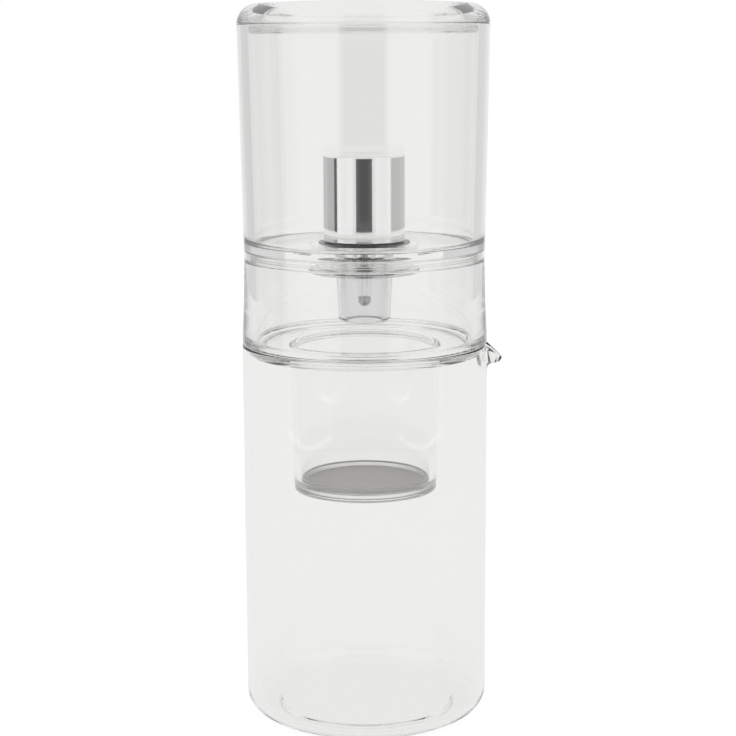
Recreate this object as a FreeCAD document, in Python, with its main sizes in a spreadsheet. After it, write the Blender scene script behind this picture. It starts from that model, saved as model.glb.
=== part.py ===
import FreeCAD, Part
import math
import os
import re
import Sketcher

# Cold brew (drip) coffee maker: a glass carafe, a brew chamber whose cup hangs inside the
# carafe, a water tank with a needle valve in its floor, and a lid, all stacked on one axis.
#
# Frame: millimetres, +Z up, origin on the axis at the carafe's flat underside. The pouring
# spout points along +X. Everything but the spout and the small ports is a turned shape, so
# each piece is a half section (radius, height) revolved about Z.

doc = FreeCAD.newDocument("cold_brew_coffee_maker")

# ---------------------------------------------------------------- driving dimensions
# Lengths in millimetres. A "radius" is an outer radius unless its name says otherwise.
DIMENSIONS = {
    # gaps left between pieces that rest on, slide in or turn in one another
    "seat_gap": 0.1,
    "slide_gap": 0.3,
    "seal_gap": 0.1,
    "running_gap": 0.05,
    # glass carafe
    "carafe_radius": 55.0,
    "carafe_height": 170.1,
    "carafe_wall": 2.4,
    "carafe_floor": 2.5,
    "carafe_base_round": 9.0,
    "carafe_inner_round": 6.6,
    "floor_pad_radius": 40.2,
    "floor_pad_rise": 1.0,
    "floor_pad_slope": 1.8,
    # pouring spout, pinched out of the carafe's rim
    "spout_tip_height": 163.5,
    "spout_root_height": 155.0,
    "spout_tilt": 18.7,
    "spout_half_angle": 20.0,
    "spout_apex_drop": 8.2,
    "spout_cone_length": 40.0,
    # brew chamber: wide ring, floor and hanging cup in one moulding
    "chamber_rise": 37.8,
    "chamber_seam_radius": 53.65,
    "chamber_waist_radius": 54.05,
    "chamber_flange_radius": 54.85,
    "chamber_waist_height": 20.0,
    "chamber_flange_depth": 3.8,
    "chamber_bore_top": 48.8,
    "chamber_bore_low": 49.0,
    "chamber_floor_drop": 0.9,
    "chamber_floor_thick": 3.5,
    "chamber_floor_round": 5.2,
    "chamber_lip_rise": 3.9,
    "chamber_lip_radius": 50.7,
    "spigot_depth": 2.6,
    "spigot_bevel": 1.4,
    "chamber_edge_round": 0.6,
    # cup that holds the ground coffee
    "cup_bottom": 103.3,
    "cup_mouth_bore": 30.8,
    "cup_bottom_bore": 29.2,
    "cup_top_radius": 33.9,
    "cup_bottom_radius": 32.3,
    "cup_mouth_round": 1.6,
    "cup_ledge_bore": 25.2,
    "cup_ledge_thick": 1.0,
    "cup_edge_round": 0.7,
    # silicone rings in grooves
    "ring_groove_depth": 0.75,
    "ring_width": 1.2,
    "ring_groove_inset": 0.9,
    "ring_round": 0.35,
    # mesh filter that drops into the cup, with a silicone ring pulled over its rim
    "filter_opening": 26.7,
    "filter_wall_bore": 27.2,
    "filter_wall_radius": 28.0,
    "filter_flange_radius": 29.0,
    "filter_flange_thick": 0.6,
    "filter_height": 4.7,
    "filter_hem_height": 1.4,
    "filter_mesh_thick": 0.3,
    "filter_crimp_depth": 0.8,
    "filter_gasket_foot": 1.8,
    # water tank
    "tank_rise": 103.2,
    "tank_rim_radius": 55.5,
    "tank_foot_radius": 53.65,
    "tank_bore_top": 50.7,
    "tank_bore_low": 48.9,
    "tank_floor_top": 215.4,
    "tank_floor_thick": 2.8,
    "tank_floor_round": 3.0,
    "tank_skirt_bore": 51.0,
    "tank_rim_round": 0.7,
    "tank_foot_round": 0.5,
    "tank_boss_radius": 24.0,
    "tank_boss_depth": 3.8,
    "tank_hole_radius": 9.2,
    # lid
    "lid_rise": 8.2,
    "lid_dome_rise": 1.7,
    "lid_draft": 1.4,
    "lid_corner_round": 9.0,
    "lid_plate_thick": 1.6,
    "lid_plug_radius": 49.5,
    "lid_plug_wall": 4.5,
    "lid_plug_depth": 4.6,
    "lid_cavity_radius": 46.5,
    "lid_cavity_round": 3.0,
    "lid_ledge_rise": 1.3,
    "lid_edge_round": 0.5,
    "lid_groove_depth": 0.8,
    "lid_groove_width": 3.0,
    "lid_groove_inset": 0.4,
    "lid_seal_lip": 0.5,
    # valve body, gaskets and drip nozzle
    "top_gasket_radius": 20.8,
    "bottom_gasket_radius": 14.0,
    "gasket_thick": 0.5,
    "valve_flange_radius": 16.5,
    "valve_flange_thick": 2.1,
    "valve_barrel_radius": 8.0,
    "valve_barrel_rise": 15.6,
    "valve_tube_radius": 8.9,
    "valve_tube_foot": 200.4,
    "valve_tube_floor": 2.6,
    "valve_bore": 3.6,
    "valve_drain_bore": 0.9,
    "valve_spigot_radius": 2.9,
    "valve_spigot_neck": 2.0,
    "valve_spigot_foot": 188.0,
    "valve_neck_length": 2.45,
    "valve_port_bore": 1.4,
    "valve_port_rise": 2.0,
    "valve_port_count": 4,
    "nut_radius": 20.4,
    "nut_flange_radius": 24.9,
    "nut_flange_top": 204.5,
    "nut_flange_foot": 201.9,
    "nozzle_top_radius": 12.7,
    "nozzle_foot_radius": 11.6,
    "nozzle_foot": 179.4,
    "nozzle_foot_bore": 8.2,
    "nozzle_root_round": 2.4,
    "nozzle_foot_round": 1.4,
    "nut_edge_round": 0.5,
    "tip_radius": 2.8,
    "tip_bore": 0.5,
    "tip_foot": 186.5,
    "tip_foot_radius": 1.5,
    "tip_taper": 1.6,
    # valve seat and needle
    "seat_rise": 2.4,
    "seat_throat": 0.6,
    "seat_mouth": 1.65,
    "seat_cone_depth": 2.0,
    "needle_radius": 1.6,
    "needle_point_radius": 0.35,
    "needle_point_length": 2.6,
    "needle_collar_radius": 3.3,
    "needle_collar_foot": 222.6,
    "needle_collar_length": 9.0,
    "needle_groove_radius": 2.05,
    "needle_groove_width": 1.7,
    "needle_groove_inset": 1.4,
    "needle_shank_radius": 1.9,
    "needle_shank_rise": 5.4,
    "needle_clip_groove": 1.3,
    "o_ring_section": 0.74,
    "clip_radius": 3.6,
    "clip_thick": 0.6,
    "clip_slot": 2.2,
    # knob: moulded hub in a drawn steel cap
    "knob_radius": 18.3,
    "knob_wall": 1.0,
    "knob_foot": 216.1,
    "knob_top": 254.3,
    "knob_edge_round": 0.9,
    "knob_foot_round": 0.6,
    "hub_foot": 221.6,
    "hub_web_foot": 234.2,
    "hub_web_thick": 4.0,
    "hub_cavity_radius": 9.0,
    "hub_well_radius": 2.9,
    "hub_well_pitch": 12.6,
    "hub_well_depth": 24.0,
    "hub_well_count": 8,
}

sheet = doc.addObject("Spreadsheet::Sheet", "sizes")
for row, (alias, number) in enumerate(DIMENSIONS.items(), start=1):
    sheet.set(f"A{row}", alias)
    sheet.set(f"B{row}", str(number))
    sheet.setAlias(f"B{row}", alias)
doc.recompute()

# Levels and radii that follow from the driving dimensions.
DERIVED = {
    "carafe_blank_height": "carafe_height + 2 * spout_reach",
    "spout_rise": "spout_tip_height - spout_root_height",
    "spout_lean": "spout_tilt + spout_half_angle",
    "spout_reach": "spout_rise * tan(spout_lean)",
    "spout_apex_reach": "carafe_radius - spout_apex_drop * tan(spout_lean)",
    "spout_apex_height": "spout_root_height - spout_apex_drop",
    "spout_slope_foot": "carafe_height - 4 * (carafe_height - spout_tip_height)",
    "spout_slope_far": "carafe_radius + 4 * spout_reach",
    "flange_foot": "carafe_height + seat_gap",
    "seam": "flange_foot + chamber_rise",
    "chamber_floor": "flange_foot - chamber_floor_drop",
    "chamber_floor_foot": "chamber_floor - chamber_floor_thick",
    "spigot_foot": "flange_foot - spigot_depth",
    "spigot_radius": "carafe_radius - carafe_wall - slide_gap",
    "lip_top": "seam + chamber_lip_rise",
    "ledge_top": "cup_bottom + cup_ledge_thick",
    "carafe_groove_top": "flange_foot - ring_groove_inset",
    "carafe_groove_foot": "carafe_groove_top - ring_width",
    "lip_groove_foot": "(seam + lip_top - ring_width) / 2",
    "lip_groove_top": "lip_groove_foot + ring_width",
    "filter_foot": "ledge_top + seat_gap",
    "filter_top": "filter_foot + filter_height",
    "filter_flange_foot": "filter_top - filter_flange_thick",
    "filter_hem_foot": "filter_foot + filter_gasket_foot",
    "filter_hem_top": "filter_hem_foot + filter_hem_height",
    "filter_middle": "(filter_hem_foot + filter_hem_top) / 2",
    "filter_crimp": "filter_opening + filter_crimp_depth",
    "tank_foot": "seam + seat_gap",
    "tank_rim": "tank_foot + tank_rise",
    "tank_floor_foot": "tank_floor_top - tank_floor_thick",
    "tank_boss_foot": "tank_floor_foot - tank_boss_depth",
    "lid_foot": "tank_rim + seat_gap",
    "lid_edge": "lid_foot + lid_rise",
    "lid_crown": "lid_edge + lid_dome_rise",
    "lid_ceiling": "lid_edge - lid_plate_thick",
    "lid_plug_foot": "lid_foot - lid_plug_depth",
    "lid_plug_bore": "lid_plug_radius - lid_plug_wall",
    "lid_ledge": "lid_foot + lid_ledge_rise",
    "lid_edge_radius": "tank_rim_radius - lid_draft",
    "lid_dome_chord": "lid_dome_rise ^ 2 + lid_edge_radius ^ 2",
    "lid_dome_radius": "lid_dome_chord / (2 * lid_dome_rise)",
    "lid_groove_foot": "lid_plug_foot + lid_groove_inset",
    "lid_groove_top": "lid_groove_foot + lid_groove_width",
    "valve_flange_foot": "tank_floor_top + gasket_thick",
    "valve_flange_top": "valve_flange_foot + valve_flange_thick",
    "valve_top": "valve_flange_top + valve_barrel_rise",
    "valve_bore_foot": "valve_tube_foot + valve_tube_floor",
    "valve_neck_top": "valve_spigot_foot + valve_neck_length",
    "nut_top": "tank_boss_foot - gasket_thick",
    "nut_bore": "valve_tube_radius + running_gap",
    "tip_top": "valve_neck_top - running_gap",
    "tip_bore_top": "valve_spigot_foot - running_gap",
    "tip_socket": "valve_spigot_neck + running_gap",
    "seat_top": "valve_bore_foot + seat_rise",
    "seat_throat_top": "seat_top - seat_cone_depth",
    "needle_cone_top": "seat_top + seat_gap",
    "needle_point": "needle_cone_top - needle_point_length",
    "needle_collar_top": "needle_collar_foot + needle_collar_length",
    "groove_1_foot": "needle_collar_foot + needle_groove_inset",
    "groove_1_top": "groove_1_foot + needle_groove_width",
    "groove_2_top": "needle_collar_top - needle_groove_inset",
    "groove_2_foot": "groove_2_top - needle_groove_width",
    "hub_web_top": "hub_web_foot + hub_web_thick",
    "clip_foot": "hub_web_top + seat_gap",
    "clip_top": "clip_foot + clip_thick",
    "needle_top": "hub_web_top + needle_shank_rise - hub_web_thick",
    "hub_radius": "knob_radius - knob_wall - running_gap",
    "hub_top": "knob_top - knob_wall - running_gap",
    "hub_bore": "valve_barrel_radius + running_gap",
}


def bound(formula):
    """Write a formula of dimension names in terms of the sheet's cells."""
    def cell(match):
        word = match.group(0)
        if word in ("sin", "cos", "tan"):
            return word
        if word in DIMENSIONS:
            return f"sizes.{word}"
        return f"({bound(DERIVED[word])})"
    return re.sub(r"[a-z][a-z0-9_]*", cell, formula)


def size(formula):
    """The value of a formula of dimension names, in millimetres."""
    return float(sheet.evalExpression(bound(formula)))


def new_body(label):
    body = doc.addObject("PartDesign::Body", label)
    body.Label = label
    return body


def origin_feature(body, role):
    return next(item for item in body.Origin.OriginFeatures if item.Role == role)


def new_sketch(body, name, role, height=None):
    """A sketch on one of the body's own origin planes, or raised above it by a height."""
    sketch = body.newObject("Sketcher::SketchObject", name)
    sketch.AttachmentSupport = [(origin_feature(body, role), "")]
    sketch.MapMode = "FlatFace"
    if height is not None:
        sketch.setExpression(".AttachmentOffset.Base.z", bound(height))
    doc.recompute()
    return sketch


def fix(sketch, kind, where, formula):
    """Add a dimension that follows a formula."""
    index = sketch.addConstraint(Sketcher.Constraint(kind, *where, size(formula)))
    sketch.setExpression(f"Constraints[{index}]", bound(formula))


def draw_section(sketch, corners, crown=None):
    """Draw a closed half section through (radius, height) corners.

    Each side is a straight line, except the side that starts at corner number crown, which is
    an arc of the lid's dome radius, centred on the axis.
    """
    points = [FreeCAD.Vector(size(r), size(z), 0) for r, z in corners]
    count = len(points)
    ends = []
    for number, start in enumerate(points):
        finish = points[(number + 1) % count]
        if number == crown:
            dome = size("lid_dome_radius")
            centre = FreeCAD.Vector(0, finish.y - dome, 0)
            first = math.atan2(start.y - centre.y, start.x)
            side = Part.ArcOfCircle(Part.Circle(centre, FreeCAD.Vector(0, 0, 1), dome), first, math.pi / 2)
        else:
            side = Part.LineSegment(start, finish)
        ends.append(sketch.addGeometry(side, False))
    for number in range(count):
        following = (number + 1) % count
        sketch.addConstraint(Sketcher.Constraint("Coincident", ends[number], 2, ends[following], 1))
    for number, (radius, height) in enumerate(corners):
        fix(sketch, "DistanceX", (-1, 1, ends[number], 1), radius)
        fix(sketch, "DistanceY", (-1, 1, ends[number], 1), height)
    if crown is not None:
        fix(sketch, "Radius", (ends[crown],), "lid_dome_radius")


def turn(body, name, corners, crown=None):
    """Revolve a half section a full turn about the axis."""
    sketch = new_sketch(body, f"{name}_section", "YZ_Plane")
    draw_section(sketch, corners, crown)
    feature = body.newObject("PartDesign::Revolution", name)
    feature.Profile = sketch
    feature.ReferenceAxis = (sketch, ["V_Axis"])
    feature.Angle = 360
    doc.recompute()
    return feature


def cut_round(body, name, corners):
    """Cut a turned hollow, given as a half section."""
    before = body.Shape.Volume
    sketch = new_sketch(body, f"{name}_section", "YZ_Plane")
    draw_section(sketch, corners)
    feature = body.newObject("PartDesign::Groove", name)
    feature.Profile = sketch
    feature.ReferenceAxis = (sketch, ["V_Axis"])
    feature.Angle = 360
    doc.recompute()
    check_cut(body, name, before)
    return feature


def check_cut(body, name, before):
    if body.Shape.Volume >= before:
        raise RuntimeError(f"{body.Label}: {name} removes nothing")


def soften(body, name, rings, radius):
    """Round the circular edges that lie at the given (radius, height) places."""
    tolerance = 1e-3
    places = [(size(r), size(z)) for r, z in rings]
    base = body.Tip
    names = []
    for number, edge in enumerate(base.Shape.Edges, start=1):
        if edge.Degenerated or not isinstance(edge.Curve, Part.Circle):
            continue
        curve = edge.Curve
        on_axis = math.hypot(curve.Center.x, curve.Center.y) < tolerance
        for place_radius, place_height in places:
            same_radius = abs(curve.Radius - place_radius) < tolerance
            same_height = abs(curve.Center.z - place_height) < tolerance
            if on_axis and same_radius and same_height:
                names.append(f"Edge{number}")
    if len(names) < len(places):
        raise RuntimeError(f"{body.Label}: {name} found {len(names)} of {len(places)} edges")
    feature = body.newObject("PartDesign::Fillet", name)
    feature.Base = (base, names)
    feature.setExpression("Radius", bound(radius))
    doc.recompute()
    return feature


def ring_section(inner, outer, foot, top):
    return [(inner, foot), (outer, foot), (outer, top), (inner, top)]


def circle_sketch(body, name, height, centre_x, radius):
    """A circle in a level plane, centred on the X axis."""
    sketch = new_sketch(body, name, "XY_Plane", height)
    centre = FreeCAD.Vector(size(centre_x), 0, 0)
    shape = Part.Circle(centre, FreeCAD.Vector(0, 0, 1), size(radius))
    circle = sketch.addGeometry(shape, False)
    sketch.addConstraint(Sketcher.Constraint("PointOnObject", circle, 3, -1))
    fix(sketch, "DistanceX", (-1, 1, circle, 3), centre_x)
    fix(sketch, "Radius", (circle,), radius)
    return sketch


def repeat_round(body, name, feature, count):
    """Repeat a feature evenly about the axis."""
    before = body.Shape.Volume
    pattern = body.newObject("PartDesign::PolarPattern", name)
    pattern.Originals = [feature]
    pattern.Axis = (origin_feature(body, "Z_Axis"), [""])
    pattern.Angle = 360
    pattern.setExpression("Occurrences", bound(count))
    body.Tip = pattern
    doc.recompute()
    check_cut(body, name, before)
    return pattern


# ---------------------------------------------------------------- glass carafe
# A straight blown cylinder with an even wall, a rounded base and a floor that is a little
# thicker in the middle.
# The spout is a tilted cone pinched out of the wall: its lower edge leans out from the wall to
# the tip, and its upper edge slopes back from the tip to the rim.
def spout_cone(body, kind, name, inset):
    """A cone tilted towards +X, its skin set in by an amount from the spout's outer skin."""
    cone = body.newObject(f"PartDesign::{kind}", name)
    cone.AttachmentSupport = [(origin_feature(body, "XY_Plane"), "")]
    cone.MapMode = "FlatFace"
    cone.AttachmentOffset = FreeCAD.Placement(
        FreeCAD.Vector(0, 0, 0), FreeCAD.Rotation(FreeCAD.Vector(0, 1, 0), size("spout_tilt")))
    along = f"({inset} / sin(spout_half_angle))"
    cone.setExpression(".AttachmentOffset.Rotation.Angle", bound("spout_tilt"))
    cone.setExpression(".AttachmentOffset.Base.x", bound(f"spout_apex_reach + {along} * sin(spout_tilt)"))
    cone.setExpression(".AttachmentOffset.Base.z", bound(f"spout_apex_height + {along} * cos(spout_tilt)"))
    cone.setExpression("Height", bound("spout_cone_length"))
    cone.Radius1 = 0
    cone.setExpression("Radius2", bound("spout_cone_length * tan(spout_half_angle)"))
    doc.recompute()
    return cone


def make_carafe():
    body = new_body("glass_carafe")
    turn(body, "carafe_blank", [
        ("0", "0"),
        ("carafe_radius", "0"),
        ("carafe_radius", "carafe_blank_height"),
        ("0", "carafe_blank_height"),
    ])
    spout_cone(body, "AdditiveCone", "spout_beak", "0")

    # One cut trims the rim level and slopes the spout's edge down to its tip.
    sketch = new_sketch(body, "rim_trim_section", "XZ_Plane")
    draw_section(sketch, [
        ("-2 * carafe_radius", "carafe_height"),
        ("carafe_radius", "carafe_height"),
        ("spout_slope_far", "spout_slope_foot"),
        ("spout_slope_far", "2 * carafe_blank_height"),
        ("-2 * carafe_radius", "2 * carafe_blank_height"),
    ])
    before = body.Shape.Volume
    trim = body.newObject("PartDesign::Pocket", "rim_trim")
    trim.Profile = sketch
    trim.Type = "Length"
    trim.Midplane = True
    trim.setExpression("Length", bound("4 * carafe_radius"))
    doc.recompute()
    check_cut(body, "rim_trim", before)

    bore = "carafe_radius - carafe_wall"
    cut_round(body, "carafe_bore", [
        ("0", "carafe_floor + floor_pad_rise"),
        ("floor_pad_radius - floor_pad_slope", "carafe_floor + floor_pad_rise"),
        ("floor_pad_radius", "carafe_floor"),
        (bore, "carafe_floor"),
        (bore, "carafe_blank_height"),
        ("0", "carafe_blank_height"),
    ])
    soften(body, "carafe_floor_edge", [(bore, "carafe_floor")], "carafe_inner_round")
    soften(body, "carafe_base_edge", [("carafe_radius", "0")], "carafe_base_round")

    before = body.Shape.Volume
    spout_cone(body, "SubtractiveCone", "spout_channel", "carafe_wall")
    check_cut(body, "spout_channel", before)
    return body


# ---------------------------------------------------------------- brew chamber
# The flange rests on the carafe's rim, a spigot centres it in the mouth, the cup hangs below
# and the lip at the top centres the water tank.
def make_brew_chamber():
    body = new_body("brew_chamber")
    turn(body, "chamber_section", [
        ("cup_ledge_bore", "cup_bottom"),
        ("cup_bottom_radius", "cup_bottom"),
        ("cup_top_radius", "chamber_floor_foot"),
        ("spigot_radius - spigot_bevel", "chamber_floor_foot"),
        ("spigot_radius", "spigot_foot"),
        ("spigot_radius", "carafe_groove_foot"),
        ("spigot_radius - ring_groove_depth", "carafe_groove_foot"),
        ("spigot_radius - ring_groove_depth", "carafe_groove_top"),
        ("spigot_radius", "carafe_groove_top"),
        ("spigot_radius", "flange_foot"),
        ("chamber_flange_radius", "flange_foot"),
        ("chamber_flange_radius", "flange_foot + chamber_flange_depth"),
        ("chamber_waist_radius", "flange_foot + chamber_waist_height"),
        ("chamber_seam_radius", "seam"),
        ("chamber_lip_radius", "seam"),
        ("chamber_lip_radius", "lip_groove_foot"),
        ("chamber_lip_radius - ring_groove_depth", "lip_groove_foot"),
        ("chamber_lip_radius - ring_groove_depth", "lip_groove_top"),
        ("chamber_lip_radius", "lip_groove_top"),
        ("chamber_lip_radius", "lip_top"),
        ("chamber_bore_top", "lip_top"),
        ("chamber_bore_low", "chamber_floor"),
        ("cup_mouth_bore", "chamber_floor"),
        ("cup_bottom_bore", "ledge_top"),
        ("cup_ledge_bore", "ledge_top"),
    ])
    soften(body, "chamber_floor_edge", [("chamber_bore_low", "chamber_floor")], "chamber_floor_round")
    soften(body, "cup_mouth_edge", [("cup_mouth_bore", "chamber_floor")], "cup_mouth_round")
    soften(body, "chamber_flange_edge", [("chamber_flange_radius", "flange_foot")], "chamber_edge_round")
    soften(body, "cup_foot_edge", [("cup_bottom_radius", "cup_bottom")], "cup_edge_round")
    return body


# A silicone ring in the spigot's groove keeps the plastic off the glass.
def make_carafe_ring():
    body = new_body("carafe_ring")
    inner = "spigot_radius - ring_groove_depth + running_gap"
    outer = "carafe_radius - carafe_wall - seal_gap"
    foot = "carafe_groove_foot + running_gap"
    top = "carafe_groove_top - running_gap"
    turn(body, "carafe_ring_section", ring_section(inner, outer, foot, top))
    soften(body, "carafe_ring_edge", [(outer, foot), (outer, top)], "ring_round")
    return body


# A silicone ring in the lip's groove holds the tank snug on the chamber.
def make_chamber_ring():
    body = new_body("chamber_ring")
    inner = "chamber_lip_radius - ring_groove_depth + running_gap"
    outer = "tank_skirt_bore - seal_gap"
    foot = "lip_groove_foot + running_gap"
    top = "lip_groove_top - running_gap"
    turn(body, "chamber_ring_section", ring_section(inner, outer, foot, top))
    soften(body, "chamber_ring_edge", [(outer, foot), (outer, top)], "ring_round")
    return body


# ---------------------------------------------------------------- filter
# A clear moulded rim with a flange at its top. The groove near its foot grips the edge of the
# mesh, which is modelled as a closed thin disc.
def make_filter_rim():
    body = new_body("filter_rim")
    slot = "(filter_mesh_thick / 2 + running_gap)"
    turn(body, "filter_rim_section", [
        ("filter_opening", "filter_hem_foot"),
        ("filter_wall_radius", "filter_hem_foot"),
        ("filter_wall_radius", "filter_flange_foot"),
        ("filter_flange_radius", "filter_flange_foot"),
        ("filter_flange_radius", "filter_top"),
        ("filter_wall_bore", "filter_top"),
        ("filter_wall_bore", "filter_hem_top"),
        ("filter_opening", "filter_hem_top"),
        ("filter_opening", f"filter_middle + {slot}"),
        ("filter_crimp", f"filter_middle + {slot}"),
        ("filter_crimp", f"filter_middle - {slot}"),
        ("filter_opening", f"filter_middle - {slot}"),
    ])
    soften(body, "filter_rim_edge", [("filter_wall_bore", "filter_top")], "filter_flange_thick / 2")
    return body


# A silicone ring stretched over the rim from below. It seals the filter in the cup.
def make_filter_gasket():
    body = new_body("filter_gasket")
    inner = "filter_wall_radius + running_gap"
    outer = "cup_bottom_bore - seal_gap"
    turn(body, "filter_gasket_section", [
        ("filter_opening", "filter_foot"),
        (outer, "filter_foot"),
        (outer, "filter_flange_foot"),
        (inner, "filter_flange_foot"),
        (inner, "filter_hem_foot"),
        ("filter_opening", "filter_hem_foot"),
    ])
    soften(body, "filter_gasket_edge", [(outer, "filter_foot")], "ring_round")
    return body


def make_filter_mesh():
    body = new_body("filter_mesh")
    half = "filter_mesh_thick / 2"
    turn(body, "filter_mesh_section", ring_section(
        "0", "filter_crimp - running_gap", f"filter_middle - {half}", f"filter_middle + {half}"))
    return body


# ---------------------------------------------------------------- water tank
# Slightly drafted clear cylinder. Its floor stands above a skirt that drops over the brew
# chamber's lip, and a boss under the floor takes the valve.
def make_water_tank():
    body = new_body("water_tank")
    turn(body, "tank_section", [
        ("tank_hole_radius", "tank_boss_foot"),
        ("tank_boss_radius", "tank_boss_foot"),
        ("tank_boss_radius", "tank_floor_foot"),
        ("tank_skirt_bore", "tank_floor_foot"),
        ("tank_skirt_bore", "tank_foot"),
        ("tank_foot_radius", "tank_foot"),
        ("tank_rim_radius", "tank_rim"),
        ("tank_bore_top", "tank_rim"),
        ("tank_bore_low", "tank_floor_top"),
        ("tank_hole_radius", "tank_floor_top"),
    ])
    soften(body, "tank_floor_edge", [("tank_bore_low", "tank_floor_top")], "tank_floor_round")
    rim = [("tank_rim_radius", "tank_rim"), ("tank_bore_top", "tank_rim")]
    soften(body, "tank_rim_edge", rim, "tank_rim_round")
    soften(body, "tank_foot_edge", [("tank_foot_radius", "tank_foot")], "tank_foot_round")
    return body


# ---------------------------------------------------------------- lid
# A domed plate with a wide rounded shoulder. A hollow plug centres it in the tank, and the
# plug's groove carries a silicone lip ring.
def make_lid():
    body = new_body("lid")
    groove = "lid_plug_radius - lid_groove_depth"
    turn(body, "lid_section", [
        ("0", "lid_ceiling"),
        ("lid_cavity_radius", "lid_ceiling"),
        ("lid_cavity_radius", "lid_ledge"),
        ("lid_plug_bore", "lid_ledge"),
        ("lid_plug_bore", "lid_plug_foot"),
        ("lid_plug_radius", "lid_plug_foot"),
        ("lid_plug_radius", "lid_groove_foot"),
        (groove, "lid_groove_foot"),
        (groove, "lid_groove_top"),
        ("lid_plug_radius", "lid_groove_top"),
        ("lid_plug_radius", "lid_foot"),
        ("tank_rim_radius", "lid_foot"),
        ("lid_edge_radius", "lid_edge"),
        ("0", "lid_crown"),
    ], crown=12)
    soften(body, "lid_shoulder", [("lid_edge_radius", "lid_edge")], "lid_corner_round")
    soften(body, "lid_cavity_edge", [("lid_cavity_radius", "lid_ceiling")], "lid_cavity_round")
    edges = [("lid_plug_bore", "lid_plug_foot"), ("tank_rim_radius", "lid_foot")]
    soften(body, "lid_small_edges", edges, "lid_edge_round")
    return body


def make_lid_seal():
    body = new_body("lid_seal")
    inner = "lid_plug_radius - lid_groove_depth + running_gap"
    outer = "tank_bore_top - 2 * seal_gap"
    foot = "lid_groove_foot + running_gap"
    top = "lid_groove_top - running_gap"
    turn(body, "lid_seal_section", [
        (inner, foot),
        ("lid_plug_radius", foot),
        (outer, f"{foot} + lid_seal_lip"),
        (outer, f"{top} - lid_seal_lip"),
        ("lid_plug_radius", top),
        (inner, top),
    ])
    return body


# ---------------------------------------------------------------- valve in the tank's floor
def make_gasket(label, foot):
    """A flat silicone washer, one each side of the tank's floor."""
    body = new_body(label)
    turn(body, f"{label}_section", ring_section(
        "tank_hole_radius", f"{label}_radius", foot, f"{foot} + gasket_thick"))
    return body


# Water enters under the knob, runs through the ports into the bore, past the needle and the
# seat, and leaves through the spigot. The upper barrel is the thread that the knob climbs, and
# the tube below the flange takes the nozzle's thread. Threads are plain running fits.
def make_valve_body():
    body = new_body("valve_body")
    turn(body, "valve_body_section", [
        ("valve_drain_bore", "valve_spigot_foot"),
        ("valve_spigot_neck", "valve_spigot_foot"),
        ("valve_spigot_neck", "valve_neck_top"),
        ("valve_spigot_radius", "valve_neck_top"),
        ("valve_spigot_radius", "valve_tube_foot"),
        ("valve_tube_radius", "valve_tube_foot"),
        ("valve_tube_radius", "valve_flange_foot"),
        ("valve_flange_radius", "valve_flange_foot"),
        ("valve_flange_radius", "valve_flange_top"),
        ("valve_barrel_radius", "valve_flange_top"),
        ("valve_barrel_radius", "valve_top"),
        ("valve_bore", "valve_top"),
        ("valve_bore", "valve_bore_foot"),
        ("valve_drain_bore", "valve_bore_foot"),
    ])
    sketch = new_sketch(body, "valve_port_circle", "YZ_Plane")
    height = "valve_flange_top + valve_port_rise"
    shape = Part.Circle(FreeCAD.Vector(0, size(height), 0), FreeCAD.Vector(0, 0, 1), size("valve_port_bore"))
    circle = sketch.addGeometry(shape, False)
    sketch.addConstraint(Sketcher.Constraint("PointOnObject", circle, 3, -2))
    fix(sketch, "DistanceY", (-1, 1, circle, 3), height)
    fix(sketch, "Radius", (circle,), "valve_port_bore")
    before = body.Shape.Volume
    port = body.newObject("PartDesign::Pocket", "valve_port")
    port.Profile = sketch
    port.Type = "Length"
    port.Reversed = True
    port.setExpression("Length", bound("2 * valve_barrel_radius"))
    doc.recompute()
    check_cut(body, "valve_port", before)
    repeat_round(body, "valve_ports", port, "valve_port_count")
    return body


# A flanged nut that clamps the valve from below, with a shroud round the drip tip.
def make_drip_nozzle():
    body = new_body("drip_nozzle")
    turn(body, "drip_nozzle_section", [
        ("nozzle_foot_bore", "nozzle_foot"),
        ("nozzle_foot_radius", "nozzle_foot"),
        ("nozzle_top_radius", "nut_flange_foot"),
        ("nut_flange_radius", "nut_flange_foot"),
        ("nut_flange_radius", "nut_flange_top"),
        ("nut_radius", "nut_flange_top"),
        ("nut_radius", "nut_top"),
        ("nut_bore", "nut_top"),
        ("nut_bore", "valve_tube_foot - seat_gap"),
    ])
    soften(body, "nozzle_root", [("nozzle_top_radius", "nut_flange_foot")], "nozzle_root_round")
    soften(body, "nozzle_foot_edge", [("nozzle_foot_radius", "nozzle_foot")], "nozzle_foot_round")
    flange = [("nut_flange_radius", "nut_flange_foot"), ("nut_flange_radius", "nut_flange_top")]
    soften(body, "nut_flange_edge", flange, "nut_edge_round")
    return body


# Steel tip pressed on the valve's spigot, where each drop forms.
def make_drip_tip():
    body = new_body("drip_tip")
    turn(body, "drip_tip_section", [
        ("tip_bore", "tip_foot"),
        ("tip_foot_radius", "tip_foot"),
        ("tip_radius", "tip_foot + tip_taper"),
        ("tip_radius", "tip_top"),
        ("tip_socket", "tip_top"),
        ("tip_socket", "tip_bore_top"),
        ("tip_bore", "tip_bore_top"),
    ])
    return body


# Silicone insert at the bottom of the valve's bore, with a conical mouth for the needle.
def make_valve_seat():
    body = new_body("valve_seat")
    turn(body, "valve_seat_section", [
        ("seat_throat", "valve_bore_foot + running_gap"),
        ("valve_bore - running_gap", "valve_bore_foot + running_gap"),
        ("valve_bore - running_gap", "seat_top"),
        ("seat_mouth", "seat_top"),
        ("seat_throat", "seat_throat_top"),
    ])
    return body


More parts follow.
